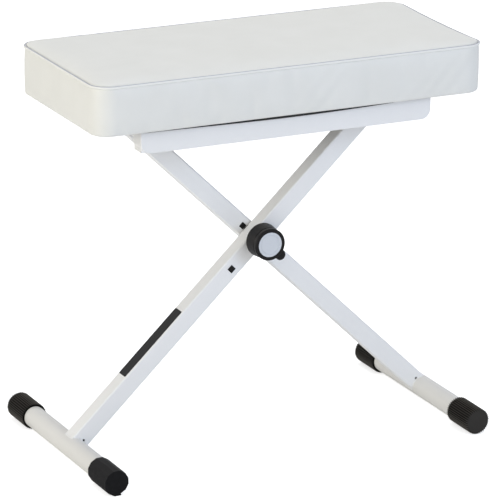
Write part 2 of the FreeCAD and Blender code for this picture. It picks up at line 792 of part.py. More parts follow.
def make_knob():
    """The clamp knob: a tapered barrel behind a front plate with a thumb tab."""
    back = f"(-{KNOB_BACK_Y})"
    front = f"(-{KNOB_FRONT_Y})"
    plate = f"({front} + sizes.knob_plate)"
    bore = "(sizes.bolt_radius + sizes.bolt_play)"
    edge = "sizes.knob_edge"
    inlay_room = "(sizes.inlay_radius + sizes.inlay_play)"
    bottom = f"({back} - sizes.bolt_end - sizes.bolt_room)"
    nut_back = f"({back} - sizes.nut_long)"
    body = turned("knob_body", [
        ("sizes.nut_radius", back),
        (f"(sizes.knob_back - {edge})", back),
        ("sizes.knob_back", f"({back} - {edge})"),
        ("sizes.knob_front", f"({plate} + sizes.knob_groove)"),
        (f"(sizes.knob_front - {edge})", plate),
        ("sizes.knob_front", f"({plate} - {edge})"),
        ("sizes.knob_front", f"({front} + {edge})"),
        (f"(sizes.knob_front - {edge})", front),
        (inlay_room, front),
        (inlay_room, f"({front} + sizes.inlay_deep)"),
        ("0", f"({front} + sizes.inlay_deep)"),
        ("0", bottom),
        (bore, bottom),
        (bore, nut_back),
        ("sizes.nut_radius", nut_back),
    ])
    # The plane's normal is -Y, so this starts one edge behind the front and runs back
    lobe = new_sketch(body, "XZ_Plane", f"-{front} - {edge}")
    turn = "(sizes.lobe_angle * 1deg)"
    circle(lobe, "sizes.lobe_radius", f"(sizes.lobe_out * cos{turn})", f"(-sizes.lobe_out * sin{turn})")
    pad(body, lobe, f"sizes.knob_plate - 2 * {edge}", back=True)
    seat = new_sketch(body, "XZ_Plane", f"-{front} + sizes.over")
    circle(seat, inlay_room)
    pocket(body, seat, "sizes.inlay_deep + sizes.over")
    place(body, "0", "0", PIVOT_Z)

    # Round steel nut, moulded into the knob's hub
    rim = "(sizes.nut_radius - sizes.nut_play)"
    nut_front = f"({nut_back} + sizes.nut_play)"
    nut = turned("knob_nut", [(bore, back), (rim, back), (rim, nut_front), (bore, nut_front)])
    place(nut, "0", "0", PIVOT_Z)

    inlay_front = f"({front} + sizes.inlay_sink)"
    inlay_back = f"({front} + sizes.inlay_deep)"
    ring = "(sizes.inlay_radius - sizes.inlay_border)"
    notch = "sizes.inlay_notch"
    inlay = turned("knob_inlay", [
        ("0", inlay_back),
        ("sizes.inlay_radius", inlay_back),
        ("sizes.inlay_radius", inlay_front),
        (ring, inlay_front),
        (f"({ring} - {notch})", f"({inlay_front} + {notch})"),
        (f"({ring} - 2 * {notch})", inlay_front),
        ("0", inlay_front),
    ])
    place(inlay, "0", "0", PIVOT_Z)


def build():
    make_cushion()
    make_board()
    make_screws()
    for name, side in (("front", -1), ("rear", 1)):
        make_rail(f"{name}_rail", side)
        make_pivot_block(f"{name}_pivot_block", side)
        make_travel_stop(f"{name}_travel_stop", side)

    legs = (
        ("front", True, "(-sizes.front_spare_hole)", TOP_X, f"(-{FOOT_X})", "left"),
        ("rear", False, "sizes.rear_spare_hole", f"(-{TOP_X})", FOOT_X, "right"),
    )
    for name, front, spare, top_x, foot_x, hand in legs:
        shift = f"sizes.{hand}_foot_shift"
        leg = make_leg(f"{name}_leg_tube", spare)
        leg_place(leg, front)
        make_hole_plugs(f"{name}_leg_plugs", spare, front)
        foot = make_cross_tube(f"{hand}_foot_tube", "sizes.foot_radius", "sizes.foot_wall",
                               "sizes.foot_half")
        place(foot, foot_x, shift, "sizes.cap_radius")
        top = make_cross_tube(f"{name}_top_tube", "sizes.top_radius", "sizes.top_wall", "sizes.top_half")
        place(top, top_x, "0", TOP_Z)
        make_lock_disc(f"{name}_lock_disc", front)
        end = f"({shift} + sizes.foot_half + sizes.cap_end - sizes.cap_long)"
        make_ribbed_cap(f"rear_{hand}_cap", foot_x, end, 1)
    end = "(sizes.right_foot_shift - sizes.foot_half - sizes.cap_end + sizes.cap_long)"
    make_ribbed_cap("front_right_cap", FOOT_X, end, -1)
    make_levelling_cap("front_left_levelling_cap")

    spigot = "(sizes.top_radius - sizes.top_wall - sizes.plug_play)"
    mouth = "sizes.top_half"
    collar = f"({mouth} + sizes.collar_long)"
    plug = [("0", f"({mouth} - sizes.plug_long)"), (spigot, f"({mouth} - sizes.plug_long)"),
            (spigot, mouth), ("sizes.top_radius", mouth), ("sizes.top_radius", collar)]
    journal_end = f"({collar} + sizes.journal_long)"
    journal = plug + [("sizes.journal_radius", collar), ("sizes.journal_radius", journal_end),
                      ("0", journal_end)]
    glide_end = f"({collar} + sizes.glide_long)"
    glide = plug + [("sizes.glide_radius", collar), ("sizes.glide_radius", f"({glide_end} - sizes.glide_bevel)"),
                    ("sizes.glide_radius - sizes.glide_bevel", glide_end), ("0", glide_end)]
    make_end_plug_pair("rear_top_journals", journal, f"(-{TOP_X})")
    make_end_plug_pair("front_top_glides", glide, TOP_X)

    make_pivot_bolt()
    make_pressure_cup()
    make_knob()


def check():
    """Stops with a plain message if any object failed or any piece isn't a valid solid."""
    for item in doc.Objects:
        if "Invalid" in item.State or "Error" in item.State:
            raise RuntimeError(f"{item.Label} failed to recompute: {item.State}")
    for piece in parts:
        shape = piece.Shape
        if shape.isNull() or not shape.isValid() or not shape.Solids:
            raise RuntimeError(f"{piece.Label} has no valid solid")


build()
doc.recompute()
check()
os.makedirs("parts", exist_ok=True)
for piece in parts:
    piece.Shape.exportStep(f"parts/{piece.Label}.step")
    box = piece.Shape.BoundBox
    print(f"{piece.Label}: {len(piece.Shape.Solids)} solid(s), volume {piece.Shape.Volume:.0f},"
          f" x {box.XMin:.1f}..{box.XMax:.1f} y {box.YMin:.1f}..{box.YMax:.1f}"
          f" z {box.ZMin:.1f}..{box.ZMax:.1f}")
print(f"{len(parts)} pieces written")
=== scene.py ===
import json
import math

import bmesh
import bpy
from mathutils import Matrix, Vector, noise

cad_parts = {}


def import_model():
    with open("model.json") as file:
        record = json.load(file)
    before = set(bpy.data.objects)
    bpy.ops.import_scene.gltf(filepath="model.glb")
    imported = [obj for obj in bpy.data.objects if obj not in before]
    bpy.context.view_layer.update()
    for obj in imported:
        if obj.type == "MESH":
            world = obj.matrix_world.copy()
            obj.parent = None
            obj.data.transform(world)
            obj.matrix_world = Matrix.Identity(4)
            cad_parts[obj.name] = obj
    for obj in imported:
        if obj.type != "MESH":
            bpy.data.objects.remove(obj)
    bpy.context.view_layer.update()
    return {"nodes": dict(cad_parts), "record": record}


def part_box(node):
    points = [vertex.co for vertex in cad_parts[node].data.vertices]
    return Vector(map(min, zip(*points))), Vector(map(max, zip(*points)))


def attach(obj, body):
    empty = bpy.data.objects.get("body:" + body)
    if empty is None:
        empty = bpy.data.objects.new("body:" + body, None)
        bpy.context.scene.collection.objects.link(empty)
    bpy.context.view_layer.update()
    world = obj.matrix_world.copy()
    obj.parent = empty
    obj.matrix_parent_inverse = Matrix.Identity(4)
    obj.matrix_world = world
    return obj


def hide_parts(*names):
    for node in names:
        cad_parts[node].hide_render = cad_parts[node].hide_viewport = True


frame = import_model()

MM = 0.001

# The bench's own sizes, in millimetres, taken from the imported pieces. WELT is the piping's radius,
# and the two halves and the corner's radius are measured to the piping's middle.
welt_low, welt_high = (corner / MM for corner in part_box("cover_welt"))
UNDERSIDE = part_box("cover_boxing")[0].z / MM
SEAM = (welt_low.z + welt_high.z) / 2
WELT = (welt_high.z - welt_low.z) / 2
HALF_LONG = welt_high.x - WELT
HALF_DEEP = welt_high.y - WELT
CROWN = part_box("cover_top")[1].z / MM - SEAM
CORNER = 27.0


def middle_of(node):
    """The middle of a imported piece's box, in millimetres."""
    low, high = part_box(node)
    return (low + high) / 2 / MM


PIVOT = middle_of("pressure_cup")
LEFT_FOOT = middle_of("left_foot_tube")
FOOT_RADIUS = (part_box("left_foot_tube")[1].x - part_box("left_foot_tube")[0].x) / 2 / MM
FRONT_LEG_Y = middle_of("front_leg_tube").y
REAR_LEG_Y = middle_of("rear_leg_tube").y
LEG_DEEP = (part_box("front_leg_tube")[1].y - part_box("front_leg_tube")[0].y) / MM
# The legs slope, so their own width and wall can't be read from their boxes
LEG_WIDE = 26.5
LEG_WALL = 1.5
LEG_ANGLE = math.atan2(PIVOT.z - LEFT_FOOT.z, PIVOT.x - LEFT_FOOT.x)
LOWER_ARM = math.hypot(PIVOT.z - LEFT_FOOT.z, PIVOT.x - LEFT_FOOT.x)


def linear(hexadecimal):
    """An sRGB hex colour as linear red, green, blue and alpha."""
    channels = [int(hexadecimal[i:i + 2], 16) / 255 for i in (0, 2, 4)]
    return tuple(c / 12.92 if c <= 0.04045 else ((c + 0.055) / 1.055) ** 2.4 for c in channels) + (1.0,)


def material(name):
    """A new material with only an output, and its node tree."""
    made = bpy.data.materials.new(name)
    made.use_nodes = True
    made.node_tree.nodes.clear()
    return made, made.node_tree


def add(tree, kind, settings=None, **links):
    """Adds a node, sets its properties and sockets, and links its inputs by socket name."""
    made = tree.nodes.new(kind)
    for key, value in (settings or {}).items():
        if hasattr(made, key):
            setattr(made, key, value)
        else:
            made.inputs[key].default_value = value
    for key, source in links.items():
        tree.links.new(source, made.inputs[key.replace("_", " ")])
    return made


def finish_material(tree, shader):
    """Links a material's last shader to its output."""
    output = tree.nodes.new("ShaderNodeOutputMaterial")
    tree.links.new(shader.outputs[0], output.inputs["Surface"])


# Materials
def upholstery_vinyl():
    """White PVC vinyl on a knit backing, embossed with a fine leather grain."""
    made, tree = material("upholstery_vinyl")
    place = add(tree, "ShaderNodeTexCoord").outputs["Object"]
    # The grain's pebbles are 0.9 mm on the real sheet and 1.6 mm here, so that they show
    pebbles = add(tree, "ShaderNodeTexVoronoi", {"Scale": 1 / 0.0016, "feature": "SMOOTH_F1"}, Vector=place)
    slack = add(tree, "ShaderNodeTexNoise", {"Scale": 22.0, "Detail": 3.0}, Vector=place)
    tint = add(tree, "ShaderNodeValToRGB", Fac=slack.outputs[0])
    tint.color_ramp.elements[0].color = linear("E4E4DF")
    tint.color_ramp.elements[1].color = linear("ECECE8")
    sheen = add(tree, "ShaderNodeMapRange", {"To Min": 0.42, "To Max": 0.5}, Value=slack.outputs[0])
    grain = add(tree, "ShaderNodeBump", {"Strength": 0.25, "Distance": 0.0002}, Height=pebbles.outputs[0])
    shader = add(tree, "ShaderNodeBsdfPrincipled", {"IOR": 1.5}, Base_Color=tint.outputs[0],
                 Roughness=sheen.outputs[0], Normal=grain.outputs[0])
    finish_material(tree, shader)
    return made


def piping_vinyl():
    """White PVC vinyl over a cord, stretched smooth, with painted shade along the seam on its upper side.
    """
    made, tree = material("piping_vinyl")
    place = add(tree, "ShaderNodeTexCoord").outputs["Object"]
    seam = add(tree, "ShaderNodeAttribute", {"attribute_name": "seam"})
    # The grey-blue end of this ramp is painted shade along the seam
    tint = add(tree, "ShaderNodeValToRGB", Fac=seam.outputs["Fac"])
    tint.color_ramp.elements[0].position = 0.35
    tint.color_ramp.elements[0].color = linear("EFEFEB")
    tint.color_ramp.elements[1].position = 0.9
    tint.color_ramp.elements[1].color = linear("B4B6BE")
    pebbles = add(tree, "ShaderNodeTexVoronoi", {"Scale": 1 / 0.0016, "feature": "SMOOTH_F1"}, Vector=place)
    grain = add(tree, "ShaderNodeBump", {"Strength": 0.15, "Distance": 0.0002}, Height=pebbles.outputs[0])
    shader = add(tree, "ShaderNodeBsdfPrincipled", {"Roughness": 0.44, "IOR": 1.5},
                 Base_Color=tint.outputs[0], Normal=grain.outputs[0])
    finish_material(tree, shader)
    return made


def powder_coat(name, dark, pale):
    """White polyester powder coat on steel tube, with the faint orange peel of the cured film."""
    made, tree = material(name)
    place = add(tree, "ShaderNodeTexCoord").outputs["Object"]
    peel = add(tree, "ShaderNodeTexNoise", {"Scale": 1 / 0.0022, "Detail": 2.0}, Vector=place)
    cloud = add(tree, "ShaderNodeTexNoise", {"Scale": 9.0, "Detail": 2.0}, Vector=place)
    tint = add(tree, "ShaderNodeValToRGB", Fac=cloud.outputs[0])
    tint.color_ramp.elements[0].color = linear(dark)
    tint.color_ramp.elements[1].color = linear(pale)
    film = add(tree, "ShaderNodeBump", {"Strength": 0.1, "Distance": 0.0002}, Height=peel.outputs[0])
    shader = add(tree, "ShaderNodeBsdfPrincipled", {"Roughness": 0.34, "IOR": 1.5},
                 Base_Color=tint.outputs[0], Normal=film.outputs[0])
    finish_material(tree, shader)
    return made


def moulded_rubber():
    """Black thermoplastic rubber from a textured mould, slightly dusty."""
    made, tree = material("black_moulded_rubber")
    place = add(tree, "ShaderNodeTexCoord").outputs["Object"]
    dust = add(tree, "ShaderNodeTexNoise", {"Scale": 160.0, "Detail": 5.0}, Vector=place)
    tint = add(tree, "ShaderNodeValToRGB", Fac=dust.outputs[0])
    tint.color_ramp.elements[0].position = 0.35
    tint.color_ramp.elements[0].color = linear("111112")
    tint.color_ramp.elements[1].color = linear("1C1B1D")
    mould = add(tree, "ShaderNodeBump", {"Strength": 0.2, "Distance": 0.0002}, Height=dust.outputs[0])
    shader = add(tree, "ShaderNodeBsdfPrincipled", {"Roughness": 0.6, "Specular IOR Level": 0.12},
                 Base_Color=tint.outputs[0], Normal=mould.outputs[0])
    finish_material(tree, shader)
    return made


def ribbed_rubber():
    """Black rubber of the ribbed caps: a painted highlight along the crests of the ribs, painted shade
    between them.
    """
    made, tree = material("black_ribbed_rubber")
    place = add(tree, "ShaderNodeTexCoord").outputs["Object"]
    crest = add(tree, "ShaderNodeAttribute", {"attribute_name": "crest"})
    # The crests' pale colour is a painted highlight and the grooves' near black is painted shade
    tint = add(tree, "ShaderNodeValToRGB", Fac=crest.outputs["Fac"])
    tint.color_ramp.elements[0].position = 0.4
    tint.color_ramp.elements[0].color = linear("050505")
    tint.color_ramp.elements[1].position = 0.8
    tint.color_ramp.elements[1].color = linear("4E4B47")
    dust = add(tree, "ShaderNodeTexNoise", {"Scale": 160.0, "Detail": 5.0}, Vector=place)
    mould = add(tree, "ShaderNodeBump", {"Strength": 0.2, "Distance": 0.0002}, Height=dust.outputs[0])
    shader = add(tree, "ShaderNodeBsdfPrincipled", {"Roughness": 0.55, "Specular IOR Level": 0.12},
                 Base_Color=tint.outputs[0], Normal=mould.outputs[0])
    finish_material(tree, shader)
    return made


def painted_tube_shade():
    """Painted shade: near black with a faint flaked noise, standing for the unlit inside of a tube."""
    made, tree = material("black_painted_tube_shade")
    place = add(tree, "ShaderNodeTexCoord").outputs["Object"]
    flake = add(tree, "ShaderNodeTexNoise", {"Scale": 300.0, "Detail": 4.0}, Vector=place)
    tint = add(tree, "ShaderNodeValToRGB", Fac=flake.outputs[0])
    tint.color_ramp.elements[0].color = linear("060606")
    tint.color_ramp.elements[1].color = linear("121110")
    shader = add(tree, "ShaderNodeBsdfPrincipled", {"Roughness": 0.85, "Specular IOR Level": 0.1},
                 Base_Color=tint.outputs[0])
    finish_material(tree, shader)
    return made


def moulded_nylon():
    """Black glass-filled nylon, satin from a spark-eroded mould."""
    made, tree = material("black_moulded_nylon")
    place = add(tree, "ShaderNodeTexCoord").outputs["Object"]
    spark = add(tree, "ShaderNodeTexNoise", {"Scale": 1 / 0.0012, "Detail": 3.0}, Vector=place)
    wear = add(tree, "ShaderNodeMapRange", {"To Min": 0.36, "To Max": 0.52}, Value=spark.outputs[0])
    skin = add(tree, "ShaderNodeBump", {"Strength": 0.12, "Distance": 0.0002}, Height=spark.outputs[0])
    settings = {"Base Color": linear("110F0F"), "Specular IOR Level": 0.22}
    shader = add(tree, "ShaderNodeBsdfPrincipled", settings,
                 Roughness=wear.outputs[0], Normal=skin.outputs[0])
    finish_material(tree, shader)
    return made


def zinc_plate():
    """Zinc plated steel with a fine drawn grain and a dull silver gleam."""
    made, tree = material("zinc_plated_steel")
    place = add(tree, "ShaderNodeTexCoord").outputs["Object"]
    cloud = add(tree, "ShaderNodeTexNoise", {"Scale": 240.0, "Detail": 4.0}, Vector=place)
    wear = add(tree, "ShaderNodeMapRange", {"To Min": 0.28, "To Max": 0.46}, Value=cloud.outputs[0])
    shader = add(tree, "ShaderNodeBsdfPrincipled", {"Base Color": linear("B9B8B2"), "Metallic": 1.0},
                 Roughness=wear.outputs[0])
    finish_material(tree, shader)
    return made


def dust_cloth():
    """Black spun-bonded polypropylene cloth, dotted where its fibres are welded."""
    made, tree = material("black_dust_cloth")
    place = add(tree, "ShaderNodeTexCoord").outputs["Object"]
    dots = add(tree, "ShaderNodeTexVoronoi", {"Scale": 1 / 0.0025}, Vector=place)
    tint = add(tree, "ShaderNodeValToRGB", Fac=dots.outputs[0])
    tint.color_ramp.elements[0].color = linear("0C0C0D")
    tint.color_ramp.elements[1].color = linear("1A1A1B")
    weld = add(tree, "ShaderNodeBump", {"Strength": 0.4, "Distance": 0.0003}, Height=dots.outputs[0])
    shader = add(tree, "ShaderNodeBsdfPrincipled", {"Roughness": 0.9}, Base_Color=tint.outputs[0],
                 Normal=weld.outputs[0])
    finish_material(tree, shader)
    return made


def plywood():
    """Raw birch plywood, with its grain along the seat and its plies on the edge."""
    made, tree = material("birch_plywood")
    place = add(tree, "ShaderNodeTexCoord").outputs["Object"]
    stretch = add(tree, "ShaderNodeMapping", {"Scale": (4.0, 60.0, 700.0)}, Vector=place)
    grain = add(tree, "ShaderNodeTexNoise", {"Scale": 1.0, "Detail": 5.0}, Vector=stretch.outputs[0])
    tint = add(tree, "ShaderNodeValToRGB", Fac=grain.outputs[0])
    tint.color_ramp.elements[0].color = linear("A98255")
    tint.color_ramp.elements[1].color = linear("DDBB8A")
    shader = add(tree, "ShaderNodeBsdfPrincipled", {"Roughness": 0.7}, Base_Color=tint.outputs[0])
    finish_material(tree, shader)
    return made


def label_film():
    """Plain black polypropylene label film, satin."""
    made, tree = material("black_label_film")
    place = add(tree, "ShaderNodeTexCoord").outputs["Object"]
    cloud = add(tree, "ShaderNodeTexNoise", {"Scale": 90.0, "Detail": 2.0}, Vector=place)
    wear = add(tree, "ShaderNodeMapRange", {"To Min": 0.34, "To Max": 0.46}, Value=cloud.outputs[0])
    settings = {"Base Color": linear("0C0C0D"), "Specular IOR Level": 0.18}
    shader = add(tree, "ShaderNodeBsdfPrincipled", settings, Roughness=wear.outputs[0])
    finish_material(tree, shader)
    return made


def knob_disc_film():
    """Pale grey printed polycarbonate disc, plain, with a satin face."""
    made, tree = material("pale_disc_film")
    place = add(tree, "ShaderNodeTexCoord").outputs["Object"]
    cloud = add(tree, "ShaderNodeTexNoise", {"Scale": 120.0, "Detail": 2.0}, Vector=place)
    wear = add(tree, "ShaderNodeMapRange", {"To Min": 0.3, "To Max": 0.42}, Value=cloud.outputs[0])
    shader = add(tree, "ShaderNodeBsdfPrincipled", {"Base Color": linear("D2D6DC"), "IOR": 1.58},
                 Roughness=wear.outputs[0])
    finish_material(tree, shader)
    return made


vinyl = upholstery_vinyl()
welt_vinyl = piping_vinyl()
paint = powder_coat("white_powder_coat", "EFEFEE", "F5F5F5")
# The foot tubes get a darker copy of the leg paint, as painted shade
foot_paint = powder_coat("shaded_powder_coat", "DFDEDA", "E8E7E4")
rubber = moulded_rubber()
rib_rubber = ribbed_rubber()
# Painted shade for the unlit inside of the legs' foot ends
scale = painted_tube_shade()
nylon = moulded_nylon()
zinc = zinc_plate()
cloth = dust_cloth()
wood = plywood()
disc_film = knob_disc_film()
black_film = label_film()

finishes = {
    "vinyl": vinyl,
    "foam": vinyl,
    "plywood": wood,
    "dust_cloth": cloth,
    "fastener": zinc,
    "white_paint": paint,
    "black_nylon": nylon,
    "black_plastic": nylon,
    "black_rubber": rubber,
    "pale_inlay": disc_film,
}
for subpart in frame["record"]["subparts"]:
    for slot in frame["nodes"][subpart["node"]].material_slots:
        slot.material = finishes[subpart["material_slot"]]
for node in ("left_foot_tube", "right_foot_tube"):
    frame["nodes"][node].material_slots[0].material = foot_paint


# Helpers for new pieces
def piece(name, bm, finish, body, smooth=True):
    """A new object from a bmesh, in metres, with its place in its mesh."""
    bmesh.ops.scale(bm, vec=(MM, MM, MM), verts=bm.verts)
    mesh = bpy.data.meshes.new(name)
    bm.to_mesh(mesh)
    bm.free()
    made = bpy.data.objects.new(name, mesh)
    bpy.context.scene.collection.objects.link(made)
    mesh.materials.append(finish)
    for polygon in mesh.polygons:
        polygon.use_smooth = smooth
    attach(made, body)
    return made


def block(bm, size, matrix):
    """Adds a box of the given size, with its middle where the matrix says."""
    bmesh.ops.create_cube(bm, size=1, matrix=matrix @ Matrix.Diagonal((*size, 1)))


def round_edges(bm, edges, radius, segments):
    """Rounds the given edges."""
    bmesh.ops.bevel(bm, geom=edges, offset=radius, segments=segments, profile=0.5,
                    affect="EDGES", material=-1)


def upright_edges(bm):
    """The edges of a flat block that run through its thickness."""
    return [edge for edge in bm.edges if abs(edge.verts[0].co.z - edge.verts[1].co.z) > 0.1]


def cut_at(bm, axis, places):
    """Cuts every face across at the given places along an axis."""
    normal = Vector([1.0 if axis == i else 0.0 for i in range(3)])
    for place in places:
        everything = bm.verts[:] + bm.edges[:] + bm.faces[:]
        bmesh.ops.bisect_plane(bm, geom=everything, plane_co=normal * place, plane_no=normal)


def even_cuts(half, step):
    """Places for even cuts, about a step apart, between minus half and half."""
    count = round(2 * half / step)
    return [-half + 2 * half * i / count for i in range(1, count)]


# Cushion
GRID = 6.5
TALL = SEAM - UNDERSIDE
# The plain box that the cushion starts from ends this far above the seam
LID = 3.0
# Its sides are cut across closely above the underside and about the seam, and evenly between them
HEM_CUTS = [1.2, 2.6, 4.4, 7.0]
SEAM_CUTS = [-4.0, -2.2, -1.0, 0.0, 1.2]
SIDE_ROWS = 9
# The cuts this near to the seam are held by its stitches
STITCHED = 1.3

# Boxing: rolled under at the hem, slightly full, and tucked in at the seam
ROLL_IN = 2.6
ROLL_HIGH = 3.2
FULLNESS = 0.6
TUCK_IN = 3.0
TUCK_HIGH = 3.6
# The sides are uneven by this much, in waves so many to a millimetre along and up them
UNEVEN = 0.25
WAVES_ALONG = 0.035
WAVES_UP = 0.012
# The right end leans in towards its hem, but not so far that the board shows
LEAN_IN = 2.4
LEAN_MOST = 2.9

# Top panel: its rim stands behind the welt, and it rises to the crown
RIM_IN = 2.1
RIM_LEAN = 0.2
PANEL_IN = 2.8
PANEL_REACH = 20.0
RIM_START = 0.8
RIM_HIGH = 2.6
RIM_REACH = 4.0
CROWN_REACH = 38.0
# The rim has settled in the middle of the right end
DIP_DEEP = 2.4
DIP_REACH = 70.0

# Creases in the front of the boxing: place along X at the seam and at the bottom, depth and width
CREASES = [
    (84.0, 26.0, 1.0, 10.5),
    (58.0, 2.0, 0.7, 9.5),
    (276.0, 222.0, 1.4, 10.0),
    (254.0, 196.0, 1.2, 10.5),
    (232.0, 174.0, 0.8, 10.0),
]


def side_profile(height):
    """How far the boxing is drawn in at a height above the underside."""
    roll = ROLL_IN * max(0.0, 1 - height / ROLL_HIGH) ** 2
    full = -FULLNESS * math.sin(math.pi * min(height / TALL, 1.0))
    tuck = TUCK_IN * max(0.0, 1 - abs(height - TALL) / TUCK_HIGH) ** 1.5
    return roll + full + tuck


def creased(x, share):
    """How far the front of the boxing is pushed in by its creases, at a share of its height."""
    pushed = 0.0
    for at_seam, at_bottom, depth, wide in CREASES:
        off = (x - at_bottom - (at_seam - at_bottom) * share) / wide
        pushed += depth * off * math.exp(0.5 - off * off)
    return pushed * math.sin(math.pi * min(max(share, 0.0), 1.0) ** 0.75)


def drawn_in(x, y, height):
    """How far the side is drawn in at a place on the rounded outline."""
    if height > TALL + 0.5:
        return RIM_IN + (height - TALL) * RIM_LEAN
    drawn = side_profile(height)
    drawn += UNEVEN * noise.noise(Vector((x * WAVES_ALONG, y * WAVES_ALONG, height * WAVES_UP)))
    if x > HALF_LONG - 1:
        drawn = min(drawn + LEAN_IN * max(0.0, 1 - height / TALL) ** 1.4, LEAN_MOST)
    if y < -HALF_DEEP + 1:
        drawn += creased(x, height / TALL)
    return drawn


def dip(x, y):
    """How far the rim has settled between the corners of the right end."""
    near = max(0.0, 1 - (HALF_LONG - x) / DIP_REACH)
    return DIP_DEEP * near ** 1.5 * max(0.0, 1 - (y / HALF_DEEP) ** 2)


def crown_profile(inward):
    """Height of the top panel above the welt's middle, at a distance in from the outline."""
    rim = RIM_HIGH * (1 - math.exp(-inward / RIM_REACH))
    rise = (CROWN - RIM_HIGH) * (1 - math.exp(-inward / CROWN_REACH))
    return RIM_START + rim + rise


def rounded(x, y):
    """A place on the square grid, moved so that the outline's corners are round."""
    over_x = abs(x) - (HALF_LONG - CORNER)
    over_y = abs(y) - (HALF_DEEP - CORNER)
    if over_x <= 0 or over_y <= 0:
        return x, y
    u = over_x / CORNER
    v = over_y / CORNER
    x = math.copysign(HALF_LONG - CORNER + CORNER * u * math.sqrt(1 - v * v / 2), x)
    y = math.copysign(HALF_DEEP - CORNER + CORNER * v * math.sqrt(1 - u * u / 2), y)
    return x, y


def outward(x, y):
    """Which way the rounded outline faces, level, at a place on or inside it."""
    inner_x = HALF_LONG - CORNER
    inner_y = HALF_DEEP - CORNER
    away = Vector((max(abs(x) - inner_x, 0.0), max(abs(y) - inner_y, 0.0), 0))
    away.x = math.copysign(away.x, x)
    away.y = math.copysign(away.y, y)
    return away.normalized() if away.length > 0 else away


def cushion():
    """One closed form: boxing, the sewn groove under the welt, and the crowned top panel."""
    bm = bmesh.new()
    block(bm, (2 * HALF_LONG, 2 * HALF_DEEP, TALL + LID), Matrix.Translation((0, 0, (TALL + LID) / 2)))
    cut_at(bm, 0, even_cuts(HALF_LONG, GRID))
    cut_at(bm, 1, even_cuts(HALF_DEEP, GRID))
    plain = TALL + SEAM_CUTS[0] - HEM_CUTS[-1]
    rows = [HEM_CUTS[-1] + plain * i / SIDE_ROWS for i in range(1, SIDE_ROWS)]
    cut_at(bm, 2, HEM_CUTS + rows + [TALL + height for height in SEAM_CUTS])
    sewn = []
    for vert in bm.verts:
        x, y, height = vert.co
        inward = min(HALF_LONG - abs(x), HALF_DEEP - abs(y))
        x, y = rounded(x, y)
        on_side = inward < 0.01
        if on_side:
            drawn = drawn_in(x, y, height)
        else:
            drawn = PANEL_IN * max(0.0, 1 - inward / PANEL_REACH)
        vert.co = Vector((x, y, UNDERSIDE + height)) - outward(x, y) * drawn
        if not on_side and height > TALL:
            vert.co.z = SEAM + crown_profile(inward)
        vert.co.z -= dip(x, y) * min(height / TALL, 1.0)
        if height < 0.5 or (on_side and abs(height - TALL) < STITCHED):
            sewn.append(vert.index)
    bmesh.ops.recalc_face_normals(bm, faces=bm.faces)
    return piece("seat_cushion", bm, vinyl, "seat"), sewn


SWELL_FRAMES = 20
SWELL_MOST = 3.0 * MM


def swell(made, sewn):
    """Lets the foam push the cover out against its seams: Cloth with pressure, its movement capped."""
    made.vertex_groups.new(name="sewn").add(sewn, 1.0, "REPLACE")
    cover = made.modifiers.new("cover", "CLOTH")
    cover.settings.vertex_group_mass = "sewn"
    cover.settings.use_pressure = True
    cover.settings.uniform_pressure_force = 4.0
    cover.settings.effector_weights.gravity = 0.0
    cover.settings.shrink_min = -0.006
    cover.point_cache.frame_start = 1
    cover.point_cache.frame_end = SWELL_FRAMES
    for frame_number in range(1, SWELL_FRAMES + 1):
        bpy.context.scene.frame_set(frame_number)
    shaped = made.evaluated_get(bpy.context.evaluated_depsgraph_get()).to_mesh()
    for vert, pushed in zip(made.data.vertices, shaped.vertices):
        shift = pushed.co - vert.co
        if shift.length > 0:
            vert.co += shift * (SWELL_MOST / (SWELL_MOST + shift.length))
    made.modifiers.remove(cover)
    bpy.context.scene.frame_set(1)


seat_cushion, sewn = cushion()
swell(seat_cushion, sewn)
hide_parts("cover_top", "cover_boxing", "seat_foam")
smooth = seat_cushion.modifiers.new("smooth", "SUBSURF")
smooth.levels = smooth.render_levels = 1


# Welt: piping sewn into the seam all round
WELT_INSET = 0.3
WELT_SIDES = 12
WELT_TURN_STEPS = 10
WELT_RUN_STEPS = 24
# Above this share of its radius the cord lies against the seam, where it is coloured grey-blue as painted
# shade
WELT_SHADE_ABOVE = 0.8
WELT_UNEVEN = 0.12


